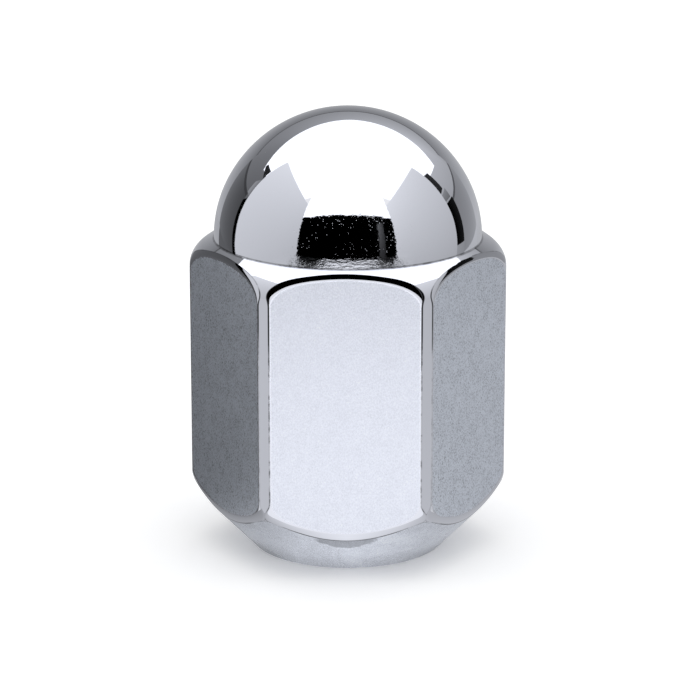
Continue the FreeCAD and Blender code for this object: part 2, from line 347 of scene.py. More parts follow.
@dataclass
class WrenchFlats:
    """The six flats with the shoulder, corners and seat round them, built as half sectors.

    The plain part of a flat ends a little inside the turned outline. From there the face
    rolls inwards, and it ends in a crisp line where it meets the turned surface.

    Attributes:
        apothem: distance of the flats from the axis.
        outline: the turned outline.
        columns: columns of faces between the rim and the corner.
        upper_rim: width of the rolled rim at the flat's upper edge.
        lower_rim: its width at the lower edge.
        side_rim: how much less than the corner's radius the plain part reaches.
        inner_round: rounding of the plain part's corners, in the turned outline.
        upper_turn: how far the face has turned where it meets the shoulder.
        lower_turn: how far it has turned where it meets the seat.
        lower_from: how far down the edge has to face until the lower turn is reached.
        widest_roll: a radius of the rolled rim that is surely too large.
        rim_columns: columns of faces across the rim.
        flat_columns: shares of the flat's half width where its points stand.
        row_length: length of a row of faces along a straight edge.
        row_bend: bend of the edge over a row of faces.
        nudge: how far inside its own stretch the outline is read for a belt's end.
    """

    apothem: float
    outline: Outline
    columns: int
    upper_rim: float = 0.40
    lower_rim: float = 0.40
    side_rim: float = 0.025
    inner_round: float = 2.3
    upper_turn: float = math.radians(24.5)
    lower_turn: float = math.radians(38.0)
    lower_from: float = 0.6
    widest_roll: float = 8.0
    rim_columns: int = 8
    flat_columns: tuple[float, ...] = (0.0, 0.35, 0.65, 0.85, 0.94, 0.98, 1.0)
    row_length: float = 1.5
    row_bend: float = math.radians(2.6)
    nudge: float = 1e-6

    def inner_outline(self) -> Outline:
        """Returns the smaller outline that would cut the flat where its plain part ends."""
        return replace(
            self.outline,
            corner_r=self.outline.corner_r - self.side_rim,
            crease_z=self.outline.crease_z - self.upper_rim,
            shoulder_round=self.inner_round,
            seat_round=self.inner_round,
            foot_r=self.outline.foot_r - self.lower_rim * math.tan(self.outline.flare),
            skim=0.0,
        )

    def rows(self) -> tuple[Array, Array]:
        """Spreads the rows along the edge of the plain part, closer where it bends.

        Returns:
            The edge's points, aside and height, and its outward directions.
        """
        line = self.inner_outline().edge(self.apothem)
        along = unit(np.gradient(line, axis=0))
        out = np.stack([-along[:, 1], along[:, 0]], axis=-1)
        length, bend = (np.linalg.norm(np.diff(track, axis=0), axis=1) for track in (line, out))
        measure = np.concatenate([[0.0], np.cumsum(length / self.row_length + bend / self.row_bend)])
        places = np.linspace(0.0, measure[-1], round(measure[-1]) + 1)
        points, facing = (
            np.stack([np.interp(places, measure, track[:, axis]) for axis in (0, 1)], axis=-1)
            for track in (line, out)
        )
        points[0, 0] = points[-1, 0] = 0.0
        facing[0], facing[-1] = (0.0, 1.0), (0.0, -1.0)
        return points, unit(facing)

    def turn(self, rise: float) -> float:
        """Returns how far the face turns over the rim where its outward direction rises by this much."""
        return self.upper_turn + (self.lower_turn - self.upper_turn) * smooth(-rise / self.lower_from)

    def section(self, point: Array, out: Array) -> tuple[Array, Array]:
        """Rolls the face inwards from one point of the plain part's edge.

        Args:
            point: the point, aside and height.
            out: the outward direction there.

        Returns:
            The points and normals across the rim, up to the turned surface.
        """
        start = np.array([self.apothem, point[0], point[1]])
        flat = np.array([1.0, 0.0, 0.0])
        away = np.array([0.0, out[0], out[1]])
        end = self.turn(float(out[1]))

        def reach(radius: float, angle: float) -> Array:
            """Returns the rim's point at an angle, for a radius of the roll."""
            return start + radius * (math.sin(angle) * away - (1 - math.cos(angle)) * flat)

        def proud(radius: float) -> float:
            """Returns how far the rim's end then stands out of the turned surface."""
            place = reach(radius, end)
            return math.hypot(place[0], place[1]) - self.outline.at(place[2])[0]

        radius = root(proud, 0.0, self.widest_roll)
        angles = end * np.arange(self.rim_columns + 1) / self.rim_columns
        normals = np.array([math.cos(angle) * flat + math.sin(angle) * away for angle in angles])
        return np.array([reach(radius, angle) for angle in angles]), normals

    def _insets(self, grid: Array, edge: Array) -> Array:
        """Measures how far the points of a flat lie from its edge.

        Args:
            grid: the flat's points.
            edge: the points along its edge.

        Returns:
            The distance of each grid point from the edge.
        """
        flat = grid.reshape(-1, 1, 3)
        start, step = edge[:-1][None], np.diff(edge, axis=0)[None]
        share = ((flat - start) * step).sum(axis=-1) / np.maximum((step**2).sum(axis=-1), 1e-12)
        share = np.clip(share, 0.0, 1.0)
        gaps = np.linalg.norm(flat - (start + share[..., None] * step), axis=-1)
        return gaps.min(axis=1).reshape(grid.shape[:2])

    def _belt(self, starts: Array, skin: Skin) -> Patch:
        """Builds the turned surface beside a flat.

        Args:
            starts: the point where each row begins, at the end of the rim.
            skin: the finish of the belt.

        Returns:
            The patch, from the rim to the corner.
        """
        inside = -self.nudge if skin is Skin.SEAT else self.nudge
        radius, _, tilt = self.outline.profile(starts[:, 2] + inside).T[:, :, None]
        turns = np.linspace(np.arctan2(starts[:, 1], starts[:, 0]), HALF_SECTOR, self.columns + 1, axis=-1)
        points = polar(radius, turns, starts[:, 2:])
        normals = polar(np.cos(tilt), turns, np.sin(tilt))
        return Patch(points, normals, skin, {"seam": -radius * (turns - turns[:, :1])})

    def build(self, shell: Shell) -> tuple[float, float]:
        """Adds the flats, their rims and the turned surface beside them.

        Args:
            shell: where the patches go.

        Returns:
            The heights where the belt above the flats and the belt below them end.
        """
        places, out = self.rows()
        sections = [self.section(place, direction) for place, direction in zip(places, out)]
        rim = self.outline.rim()
        lower = next(i for i, section in enumerate(sections) if section[0][-1][2] < rim)

        def between(share: float) -> tuple[Array, Array]:
            """Returns the section at a share of the way over the line of the last cut."""
            place, direction = (a[lower - 1] + share * (a[lower] - a[lower - 1]) for a in (places, out))
            return self.section(place, direction / np.linalg.norm(direction))

        share = root(lambda s: between(s)[0][-1][2] - rim, 0.0, 1.0)
        sections.insert(lower, between(share))
        points = np.array([section[0] for section in sections])
        normals = np.array([section[1] for section in sections])
        points[lower, -1, 2] = rim
        arcs = np.linalg.norm(np.diff(points, axis=1), axis=-1).cumsum(axis=1)
        arcs = np.concatenate([np.zeros((len(points), 1)), arcs], axis=1)
        shell.add_round(Patch(points, normals, Skin.PLATE, {"inset": -arcs, "seam": arcs[:, -1:] - arcs}))
        edge = points[:, 0]
        flat = np.repeat(edge[:, None, :], len(self.flat_columns), axis=1)
        flat[..., 1] *= np.array(self.flat_columns)
        facing = np.zeros_like(flat)
        facing[..., 0] = 1.0
        inset = self._insets(flat, edge)
        shell.add_round(Patch(flat, facing, Skin.PLATE, {"inset": inset, "seam": inset + arcs[:, -1:]}))
        shell.add_round(self._belt(points[: lower + 1, -1], Skin.PLATE))
        shell.add_round(self._belt(points[lower:, -1], Skin.SEAT))
        widest = max(math.degrees(math.atan2(end[1], end[0])) for end in points[:, -1])
        LOG.info("flats: %d rows, rims reach %.1f degrees from the middle", len(points), widest)
        return float(points[0, -1, 2]), float(points[-1, -1, 2])


@dataclass
class Dome:
    """The closed dome and the strip of shoulder between its crease and the flats.

    Attributes:
        outline: the turned outline.
        rise: height of the dome above the crease.
        blend: direction where the dome's side arc meets its crown arc.
        side_rows: rows of faces in the side arc.
        crown_rows: rows of faces in the crown arc.
        strip_rows: rows of faces in the strip.
    """

    outline: Outline
    rise: float
    blend: float = math.radians(30.0)
    side_rows: int = 40
    crown_rows: int = 48
    strip_rows: int = 4

    def build(self, shell: Shell, strip_end: float, turns: Array) -> None:
        """Adds the dome.

        Args:
            shell: where the patches go.
            strip_end: height where the belt above the flats ends.
            turns: the directions of the columns in a half sector.
        """
        radius, base = self.outline.crease_r, self.outline.crease_z
        strip = self.outline.profile(np.linspace(base, strip_end, self.strip_rows + 1))
        gap = (radius - self.rise) / (math.cos(self.blend) + math.sin(self.blend) - 1)
        side_round = radius - gap * math.cos(self.blend)
        crown_round = self.rise + gap * math.sin(self.blend)
        side = arc((radius - side_round, base), side_round, 0.0, self.blend, self.side_rows)
        top = (0.0, base + self.rise - crown_round)
        crown = arc(top, crown_round, self.blend, math.pi / 2, self.crown_rows)
        for profile in (strip, side, crown):
            shell.add_round(Patch.lathe(profile, turns, Skin.PLATE))


@dataclass
class SeatEnd:
    """The lower part of the conical seat, its rounded foot and the ring round the mouth.

    Attributes:
        outline: the turned outline.
        mouth_r: radius of the countersunk mouth.
        foot_round: rounding between the seat and the ring.
        cone_rows: rows of faces down the seat.
        round_rows: rows of faces round the foot.
        ring_rows: rows of faces across the ring.
    """

    outline: Outline
    mouth_r: float
    foot_round: float = 0.22
    cone_rows: int = 16
    round_rows: int = 8
    ring_rows: int = 4

    def build(self, shell: Shell, rim_z: float, turns: Array) -> None:
        """Adds the seat end.

        Args:
            shell: where the patches go.
            rim_z: height where the belt beside the flats ends.
            turns: the directions of the columns in a half sector.
        """
        flare, foot_r = self.outline.flare, self.outline.foot_r
        reach = self.foot_round * math.tan((math.pi / 2 - flare) / 2)
        cone = self.outline.profile(np.linspace(rim_z, reach * math.cos(flare), self.cone_rows + 1))
        centre = (foot_r - reach, self.foot_round)
        rounding = arc(centre, self.foot_round, -flare, -math.pi / 2, self.round_rows)
        ring = [(r, 0.0, -math.pi / 2) for r in np.linspace(centre[0], self.mouth_r, self.ring_rows + 1)]
        for profile in (cone, rounding, ring):
            shell.add_round(Patch.lathe(profile, turns, Skin.SEAT))


@dataclass
class ThreadedBore:
    """The blind bore: countersunk mouth, right-hand thread, plain end and drill point.

    Attributes:
        mouth_r: radius of the mouth.
        crest_r: radius of the thread's crests, the drilled hole.
        root_r: radius of the thread's roots.
        pitch: rise of the thread in one turn.
        crest_width: width of a crest.
        flank_tilt: how far each flank leans from square to the axis.
        thread_top: height where the thread ends.
        run_out: length over which it grows shallow before that.
        wall_top: height where the drill point begins.
        point_angle: half angle of the drill point.
        wall_rows: rows of faces up the plain end.
        point_rows: rows of faces up the drill point.
        spare_turns: turns begun below the mouth and above the thread's end, which are cut off there.
    """

    mouth_r: float
    crest_r: float = 5.25
    root_r: float = 6.0
    pitch: float = 1.5
    crest_width: float = 0.42
    flank_tilt: float = math.radians(30.0)
    thread_top: float = 25.0
    run_out: float = 1.6
    wall_top: float = 26.9955
    point_angle: float = math.radians(59.0)
    wall_rows: int = 3
    point_rows: int = 6
    spare_turns: int = 2

    def _row(self, offset: float, depth: float, turns: Array) -> Array:
        """Returns one helical line of the thread.

        Args:
            offset: its height where the turns begin.
            depth: 0 for a crest, 1 for a root.
            turns: the directions of its points.

        Returns:
            The points, kept inside the mouth's countersink and the thread's length.
        """
        height = np.clip(offset + self.pitch * turns / (2 * math.pi), 0.0, self.thread_top)
        fade = np.clip((self.thread_top - height) / self.run_out, 0.0, 1.0)
        radius = self.crest_r + (self.root_r - self.crest_r) * depth * fade
        return polar(np.maximum(radius, self.mouth_r - height), turns, height)

    def _strip(self, low: Array, high: Array) -> Patch:
        """Builds the surface between two helical lines, with normals towards the axis.

        Args:
            low: the points of the lower line.
            high: the points of the upper line.

        Returns:
            The patch.
        """
        facing = np.cross(np.gradient(low + high, axis=0), high - low)
        inwards = -(low + high) / 2 * np.array([1.0, 1.0, 0.0])
        weak = np.linalg.norm(facing, axis=-1) < 1e-7
        facing[weak] = inwards[weak]
        facing *= np.sign(np.einsum("ij,ij->i", facing, inwards))[:, None]
        facing = unit(facing)
        return Patch(np.array([low, high]), np.array([facing, facing]), Skin.THREAD)

    def build(self, shell: Shell, columns: int) -> None:
        """Adds the bore.

        Args:
            shell: where the patches go.
            columns: columns of faces in a half sector.
        """
        turns = FRONT + np.linspace(0.0, 2 * math.pi, 2 * FLATS * columns + 1)
        flank = (self.root_r - self.crest_r) * math.tan(self.flank_tilt)
        steps = [(0.0, 0.0), (self.crest_width, 0.0)]
        steps += [(self.crest_width + flank, 1.0), (self.pitch - flank, 1.0)]
        last = math.ceil(self.thread_top / self.pitch) + self.spare_turns
        lines = [
            self._row(turn * self.pitch + offset, depth, turns)
            for turn in range(-self.spare_turns, last)
            for offset, depth in steps
        ]
        for low, high in zip(lines, lines[1:]):
            shell.patches.append(self._strip(low, high))
        drop = self.crest_r / math.tan(self.point_angle)
        heights = np.linspace(self.thread_top, self.wall_top, self.wall_rows + 1)
        wall = [(self.crest_r, z, math.pi) for z in heights]
        shares = np.linspace(0.0, 1.0, self.point_rows + 1)
        tilt = math.pi + self.point_angle
        point = [(self.crest_r * (1 - share), self.wall_top + drop * share, tilt) for share in shares]
        for profile in (wall, point):
            shell.patches.append(Patch.lathe(profile, turns, Skin.THREAD))


class Tree:
    """A short way to write a node tree."""

    def __init__(self, tree: bpy.types.NodeTree) -> None:
        """Keeps the tree that the nodes go into."""
        self.tree = tree

    def node(self, kind: str, **inputs: object) -> bpy.types.Node:
        """Adds a node.

        Args:
            kind: its type.
            **inputs: settings of the node, and what its sockets get, each by the socket's
                name or by its number as in0, in1.

        Returns:
            The node.
        """
        made = self.tree.nodes.new(kind)
        for name, value in inputs.items():
            numbered = name.startswith("in") and name[2:].isdigit()
            if hasattr(made, name) and not numbered:
                setattr(made, name, value)
            else:
                self.feed(made.inputs[int(name[2:]) if numbered else name], value)
        return made

    def feed(self, socket: bpy.types.NodeSocket, value: object) -> None:
        """Gives a socket what it gets.

        Args:
            socket: the socket.
            value: an output that is linked to it, or a number or colour that it is set to.
        """
        if isinstance(value, Output):
            self.tree.links.new(value.socket, socket)
        else:
            socket.default_value = value

    def out(self, kind: str, output: int | str = 0, **inputs: object) -> "Output":
        """Adds a node as the method node does, and returns one of its outputs."""
        return Output(self, self.node(kind, **inputs).outputs[output])


class Output:
    """An output of a node: a value or colour that changes over the surface, or a shader.

    Sums, differences and products of values become Math nodes.
    """

    def __init__(self, tree: Tree, socket: bpy.types.NodeSocket) -> None:
        """Keeps the socket and its tree."""
        self.tree = tree
        self.socket = socket

    def math(self, operation: str, *others: object) -> "Output":
        """Returns the result of a Math node on this value and others."""
        numbered = {f"in{place}": value for place, value in enumerate((self, *others))}
        return self.tree.out("ShaderNodeMath", operation=operation, **numbered)

    def __add__(self, other: object) -> "Output":
        """Returns the sum."""
        return self.math("ADD", other)

    def __sub__(self, other: object) -> "Output":
        """Returns what is left when the other is taken away."""
        return self.math("SUBTRACT", other)

    def __rsub__(self, other: float) -> "Output":
        """Returns what is left when this is taken away from a number."""
        return self.tree.out("ShaderNodeMath", operation="SUBTRACT", in0=other, in1=self)

    def __mul__(self, other: object) -> "Output":
        """Returns the product."""
        return self.math("MULTIPLY", other)

    def span(self, low: float, high: float, to_low: float = 0.0, to_high: float = 1.0) -> "Output":
        """Returns this value mapped softly from one range to another and kept inside it."""
        ends = {"in1": low, "in2": high, "in3": to_low, "in4": to_high}
        return self.tree.out("ShaderNodeMapRange", interpolation_type="SMOOTHSTEP", in0=self, **ends)

    def fall(self, low: float, high: float) -> "Output":
        """Returns 1 up to the low end of a range of this value, falling softly to 0 at its high end."""
        return self.span(low, high, 1.0, 0.0)

    def blend(self, first: object, second: object) -> "Output":
        """Returns a value between two, with this as the second's share."""
        return self.tree.out("ShaderNodeMix", data_type="FLOAT", in0=self, in2=first, in3=second)

    def mix(self, first: object, second: object) -> "Output":
        """Returns a colour between two, with this as the second's share."""
        return self.tree.out("ShaderNodeMix", 2, data_type="RGBA", in0=self, in6=first, in7=second)

    def tint(self, colour: object) -> "Output":
        """Returns a colour made brighter or darker by this value."""
        return self.tree.out("ShaderNodeVectorMath", operation="SCALE", in0=colour, Scale=self)

    def part(self, axis: int) -> "Output":
        """Returns one coordinate."""
        return self.tree.out("ShaderNodeSeparateXYZ", axis, in0=self)

    def away(self, middle: Point) -> "Output":
        """Returns the distance of these coordinates from a point."""
        return self.tree.out("ShaderNodeVectorMath", "Value", operation="DISTANCE", in0=self, in1=middle)

    def stretch(self, x: float, y: float, z: float) -> "Output":
        """Returns these coordinates scaled along each axis."""
        return self.tree.out("ShaderNodeMapping", vector_type="POINT", Vector=self, Scale=(x, y, z))

    def lean(self, share: "Output") -> "Output":
        """Returns these coordinates with the height scaled by a value."""
        parts = {"in0": self.part(0), "in1": self.part(1), "in2": self.part(2) * share}
        return self.tree.out("ShaderNodeCombineXYZ", **parts)

    def noise(self, scale: object, detail: float, rough: float = 0.5, warp: float = 0.0) -> "Output":
        """Returns a noise value between 0 and 1 at these coordinates."""
        made = {"Vector": self, "Scale": scale, "Detail": detail, "Roughness": rough, "Distortion": warp}
        return self.tree.out("ShaderNodeTexNoise", "Fac", **made)


class Group:
    """A shader node group with named inputs and outputs, built once and used by several finishes."""

    def __init__(self, name: str, inputs: dict[str, float], outputs: tuple[str, ...]) -> None:
        """Makes the group's sockets.

        Args:
            name: the group's name.
            inputs: each number that a material can set, with its usual value.
            outputs: the values that the group gives.
        """
        self.tree = bpy.data.node_groups.new(name, "ShaderNodeTree")
        self.tree.interface.new_socket("Vector", in_out="INPUT", socket_type="NodeSocketVector")
        for label, value in inputs.items():
            socket = self.tree.interface.new_socket(label, in_out="INPUT", socket_type="NodeSocketFloat")
            socket.default_value = value
        for label in outputs:
            self.tree.interface.new_socket(label, in_out="OUTPUT", socket_type="NodeSocketFloat")
        self.nodes = Tree(self.tree)
        self.entry = self.tree.nodes.new("NodeGroupInput")
        self.exit = self.tree.nodes.new("NodeGroupOutput")

    def take(self, label: str) -> Output:
        """Returns one of the group's inputs."""
        return Output(self.nodes, self.entry.outputs[label])

    def give(self, label: str, value: Output) -> None:
        """Sends a value out of the group."""
        self.nodes.feed(self.exit.inputs[label], value)

    def place(self, where: Output, **values: object) -> dict[str, Output]:
        """Puts the group into a material at these coordinates, and returns its outputs by name."""
        made = where.tree.node("ShaderNodeGroup", node_tree=self.tree, Vector=where, **values)
        return {socket.name: Output(where.tree, socket) for socket in made.outputs}


def make_ripple() -> Group:
    """Builds the slight unevenness of polished metal under thin plating: waves and pits.

    Returns:
        The group.
    """
    group = Group("plating_ripple", {"Wave": 900.0, "Pit": 7600.0, "Crowd": 0.5}, ("Wave", "Pits"))
    place = group.take("Vector")
    cells = group.nodes.node("ShaderNodeTexVoronoi", Vector=place, Scale=group.take("Pit"))
    near = Output(group.nodes, cells.outputs["Distance"]).fall(0.03, 0.22)
    drawn = group.nodes.out("ShaderNodeSeparateColor", in0=Output(group.nodes, cells.outputs["Color"]))
    rare = 1.0 - group.take("Crowd") * place.noise(1400.0, 1.0).span(0.35, 0.62)
    group.give("Pits", near * drawn.math("GREATER_THAN", rare))
    group.give("Wave", place.noise(group.take("Wave"), 2.0))
    return group


def make_grain() -> Group:
    """Builds the fine grain that the upright faces keep from the forging die.

    Returns:
        The group.
    """
    group = Group("satin_grain", {"Fineness": 10500.0, "Stretch": 0.75}, ("Tone",))
    along = group.take("Vector").lean(group.take("Stretch"))
    fine = along.noise(group.take("Fineness"), 3.0, 0.6)
    broad = along.noise(1300.0, 2.0)
    group.give("Tone", fine * 0.85 + broad * 0.15 - 0.5)
    return group


def make_smears() -> Group:
    """Builds soft smears, as from wiping and handling.

    Returns:
        The group.
    """
    group = Group("wiped_smears", {"Size": 160.0, "Lean": 0.25}, ("Smear",))
    cloud = group.take("Vector").lean(group.take("Lean")).noise(group.take("Size"), 5.0, 0.62, 0.6)
    group.give("Smear", cloud.span(0.38, 0.68))
    return group


def make_crease_shade_line() -> Group:
    """Builds a fine dark line of painted shade at one height, in the crease where two turned surfaces meet.

    Returns:
        The group.
    """
    group = Group("turned_line", {"Height": 0.02, "Width": 0.00006, "Broken": 0.4}, ("Line",))
    place = group.take("Vector")
    share = (place.part(2) - group.take("Height")).math("ABSOLUTE").math("DIVIDE", group.take("Width"))
    faint = place.noise(1100.0, 4.0, 0.7).span(0.35, 0.6)
    group.give("Line", share.fall(0.4, 1.0) * (1.0 - faint * group.take("Broken")))
    return group


def make_flat_seam() -> Group:
    """Builds the fine dark line round each flat, strong at its ends, faint and broken between.

    Returns:
        The group.
    """
    group = Group("flat_seam", {"Width": 0.07, "Faint": 0.25}, ("Line",))
    place = group.take("Vector")
    seam = group.nodes.out("ShaderNodeAttribute", "Fac", attribute_name="seam")
    share = (seam - 0.015).math("ABSOLUTE").math("DIVIDE", group.take("Width"))
    line = share.fall(0.35, 1.0)
    height = place.part(2)
    # the heights, in metres, where the line grows strong towards the shoulder and the seat
    upper = height.span(0.0160, 0.0200) * height.fall(0.0219, 0.0227)
    lower = height.fall(0.0038, 0.0044)
    ends = upper * 0.75 + lower * 0.6
    gaps = place.noise(900.0, 5.0, 0.7).span(0.38, 0.56) * ends.span(0.0, 0.7, 0.85, 0.1)
    level = (ends + group.take("Faint")) * (1.0 - gaps)
    group.give("Line", (line * level).math("MINIMUM", 1.0))
    return group


@dataclass
class Effects:
    """The node groups that the finishes share."""

    seam: Group = field(default_factory=make_flat_seam)
    # line: the fine line of painted shade in creases
    line: Group = field(default_factory=make_crease_shade_line)
    ripple: Group = field(default_factory=make_ripple)
    grain: Group = field(default_factory=make_grain)
    smears: Group = field(default_factory=make_smears)


class Metal:
    """A metal material that is being made, with its shader and the coordinates on the nut."""

    def __init__(self, name: str) -> None:
        """Starts the material.

        Args:
            name: its name.
        """
        self.material = bpy.data.materials.new(name)
        self.material.use_nodes = True
        self.tree = Tree(self.material.node_tree)
        self.shader = self.material.node_tree.nodes["Principled BSDF"]
        self.shader.inputs["Metallic"].default_value = 1.0
        self.place = self.tree.out("ShaderNodeTexCoord", "Object")

    def finish(self, colour: Output, rough: Output, height: Output) -> bpy.types.Material:
        """Links what changes over the surface.

        Args:
            colour: the base colour.
            rough: the roughness.
            height: the fine relief, in millimetres.

        Returns:
            The material.
        """
        normal = self.tree.out("ShaderNodeBump", Height=height, Strength=1.0, Distance=MM)
        for label, value in (("Base Color", colour), ("Roughness", rough), ("Normal", normal)):
            self.tree.feed(self.shader.inputs[label], value)
        return self.material


@dataclass(frozen=True)
class PlateFinish:
    """Bright chrome plate: a mirror on the turned surfaces, satin on the flats.

    Attributes:
        crease_z: height of the crease under the dome, in millimetres as all sizes here.
        mirror: colour of the polished plate.
        satin: colour of the front flat, painted lighter than the other flats as their lit side, with its
            grain painted faint.
        side_satin: colour of the other flats, painted darker than the front flat as shade.
        mirror_rough: roughness of the polished plate.
        satin_rough: roughness of the flats.
        fade: width of the change from grain to polish at a flat's edge.
        ragged: how far that change wanders.
        rubbed: middle of the rubbed and pitted place low on the dome.
        rubbed_reach: how far it reaches.
        rubbed_ragged: how far its edge wanders.
        torn_top: height above the crease up to which it is also torn.
        lit_flat_y: place of the front flat, which gets the lighter painted colour and the faint grain.
        grain_depth: depth of the grain.
        wave_depth: depth of the plating's ripples.
        pit_depth: depth of the pits.
        scuff_depth: depth of the scuffs in the rubbed place.
        torn_depth: depth of the torn marks.
    """

    crease_z: float
    mirror: Four = (0.80, 0.81, 0.86, 1.0)
    satin: Four = (0.85, 0.87, 0.94, 1.0)
    side_satin: Four = (0.803, 0.845, 0.917, 1.0)
    mirror_rough: float = 0.02
    satin_rough: float = 0.34
    fade: float = 0.10
    ragged: float = 0.16
    rubbed: Point = (0.2, -10.4, 24.2)
    rubbed_reach: float = 5.6
    rubbed_ragged: float = 4.0
    torn_top: float = 1.1
    lit_flat_y: float = -10.4
    grain_depth: float = 0.014
    wave_depth: float = 0.0012
    pit_depth: float = 0.0065
    scuff_depth: float = 0.003
    torn_depth: float = 0.045

    def _rubbed(self, place: Output) -> Output:
        """Marks the rubbed place.

        Args:
            place: the coordinates.

        Returns:
            How far a point lies in it, from 0 to 1.
        """
        uneven = (place.noise(500.0, 2.0) - 0.5) * (self.rubbed_ragged * MM)
        away = place.away(tuple(value * MM for value in self.rubbed)) + uneven
        reach = self.rubbed_reach * MM
        above = place.part(2).math("GREATER_THAN", (self.crease_z - 0.02) * MM)
        return away.fall(reach * 0.8, reach) * above

    def material(self, effects: Effects) -> bpy.types.Material:
        """Builds the material.

        Args:
            effects: the shared node groups.

        Returns:
            The material.
        """
        metal = Metal("chrome_plate")
        place = metal.place
        rubbed = self._rubbed(place)
        torn = rubbed * place.part(2).fall(self.crease_z * MM, (self.crease_z + self.torn_top) * MM)
        # aside is 0 on the lit front flat and 1 on the other flats, which are painted as shaded
        aside = place.part(1).span(self.lit_flat_y * MM, (self.lit_flat_y + 0.1) * MM)
        ripple = effects.ripple.place(place, Crowd=rubbed * 0.40 + 0.01)
        tone = effects.grain.place(place)["Tone"]
        smear = effects.smears.place(place)["Smear"]
        # a line of painted shade in the crease under the dome
        crease = effects.line.place(place, Height=(self.crease_z + 0.03) * MM, Width=0.00011)["Line"]
        seam = effects.seam.place(place, Width=0.09, Faint=0.75 - aside * 0.4)["Line"]
        inset = metal.tree.out("ShaderNodeAttribute", "Fac", attribute_name="inset")
        mask = (inset + (place.noise(4200.0, 2.0) - 0.5) * self.ragged).span(0.0, self.fade)
        # painted shade: the grain faint on the lit front flat and coarse on the others, as shade of the
        # grain seen aslant; no speck may be brighter than white
        grain = aside.blend(tone * 0.7, (tone * 3.0).math("MINIMUM", 0.09))
        light = (grain * mask + 1.0) * (1.0 - (crease * 0.7).math("MAXIMUM", seam * 0.9))
        # the lit front flat painted lighter than the shaded other flats
        colour = mask.mix(self.mirror, aside.mix(self.satin, self.side_satin))
        polish = smear * 0.03 + torn * 0.06 + self.mirror_rough
        rough = mask.blend(polish, tone * 0.2 + self.satin_rough)
        height = tone * mask * self.grain_depth
        height += ripple["Wave"] * self.wave_depth - ripple["Pits"] * self.pit_depth
        height += place.stretch(1.0, 1.0, 1.7).noise(3000.0, 2.0) * rubbed * self.scuff_depth
        height += place.stretch(1.0, 1.0, 2.5).noise(2500.0, 3.0, 0.6) * torn * self.torn_depth
        return metal.finish(light.tint(colour), rough, height)


@dataclass(frozen=True)
class SeatFinish:
    """The turned seat under its plating: half gloss with smeared streaks and tool marks.

    Attributes:
        rim_z: height of the line where the seat begins, in millimetres as all sizes here.
        colour: colour of the seat.
        rough: roughness of its smoothest places.
        streak: how much rougher its smears are.
        dark_reflection: middle of the patch of painted dark reflection on the seat under the front flat.
        dark_reflection_reach: how far the patch reaches sideways.
        dark_reflection_form: how much sooner the patch ends along each axis.
        dark_reflection_ragged: how far its edge wanders.
        ring_depth: depth of the turning marks.
        wave_depth: depth of the plating's ripples.
        pit_depth: depth of the pits.
    """

    rim_z: float
    colour: Point = (0.81, 0.84, 0.91)
    rough: float = 0.22
    streak: float = 0.14
    dark_reflection: Point = (0.0, -10.28, 2.9)
    dark_reflection_reach: float = 2.75
    dark_reflection_form: Point = (1.0, 3.4, 0.2)
    dark_reflection_ragged: float = 1.6
    ring_depth: float = 0.002
    wave_depth: float = 0.0015
    pit_depth: float = 0.006

    def _dark_reflection(self, place: Output) -> Output:
        """Marks the patch of painted dark reflection.

        Args:
            place: the coordinates.

        Returns:
            How far a point lies in it, from 0 to 1.
        """
        middle = tuple(value * form * MM for value, form in zip(self.dark_reflection, self.dark_reflection_form))
        uneven = (place.noise(1500.0, 3.0) - 0.5) * (self.dark_reflection_ragged * MM)
        away = place.stretch(*self.dark_reflection_form).away(middle) + uneven
        reach = self.dark_reflection_reach * MM
        return away.fall(reach * 0.75, reach)

    def material(self, effects: Effects) -> bpy.types.Material:
        """Builds the material.

        Args:
            effects: the shared node groups.

        Returns:
            The material.
        """
        metal = Metal("plated_seat")
        place = metal.place
        smear = effects.smears.place(place, Size=260.0, Lean=0.9)["Smear"]
        ripple = effects.ripple.place(place, Crowd=0.25, Wave=1300.0)
        tone = effects.grain.place(place, Stretch=1.0)["Tone"]
        # a line of painted shade in the crease where the seat's last cut begins
        edge = effects.line.place(place, Height=self.rim_z * MM, Width=0.0001, Broken=0.6)["Line"]
        seam = effects.seam.place(place, Width=0.09, Faint=1.5)["Line"]
        # the patch of painted dark reflection under the front flat is taken out of the seat's colour here
        lines = (edge * 0.4).math("MAXIMUM", seam * 0.8).math("MAXIMUM", self._dark_reflection(place) * 0.46)
        light = smear.span(0.0, 1.0, 0.92, 1.06) * (1.0 - lines) * (tone * 1.3 + 1.0)
        height = place.stretch(0.04, 0.04, 1.0).noise(9000.0, 2.0) * self.ring_depth
        height += ripple["Wave"] * self.wave_depth - ripple["Pits"] * self.pit_depth
        return metal.finish(light.tint(self.colour), smear * self.streak + self.rough, height)


@dataclass(frozen=True)
class ThreadFinish:
    """The cut thread, where the plating is thin and the steel shows through.

    Attributes:
        crest: colour of the metal at the mouth of the bore.
        root: colour deep in the bore.
        deep: height in the bore, in millimetres, from which it has that colour.
        rough: roughness of the cut metal.
        streak: how much rougher its smears are.
        wave_depth: depth of the marks of the tap, in millimetres, and of the pits.
    """

    crest: Four = (0.62, 0.62, 0.62, 1.0)
    root: Four = (0.36, 0.35, 0.33, 1.0)
    deep: float = 20.0
    rough: float = 0.28
    streak: float = 0.2
    wave_depth: float = 0.006

    def material(self, effects: Effects) -> bpy.types.Material:
        """Builds the material.

        Args:
            effects: the shared node groups.

        Returns:
            The material.
        """
        metal = Metal("cut_thread")
        place = metal.place
        smear = effects.smears.place(place, Size=420.0, Lean=1.0)["Smear"]
        ripple = effects.ripple.place(place, Crowd=0.3, Wave=2500.0)
        # darker deeper into the bore, from the mouth's colour to the root colour
        colour = place.part(2).span(0.0, self.deep * MM).mix(self.crest, self.root)
        height = (ripple["Wave"] - ripple["Pits"]) * self.wave_depth
        return metal.finish(colour, smear * self.streak + self.rough, height)


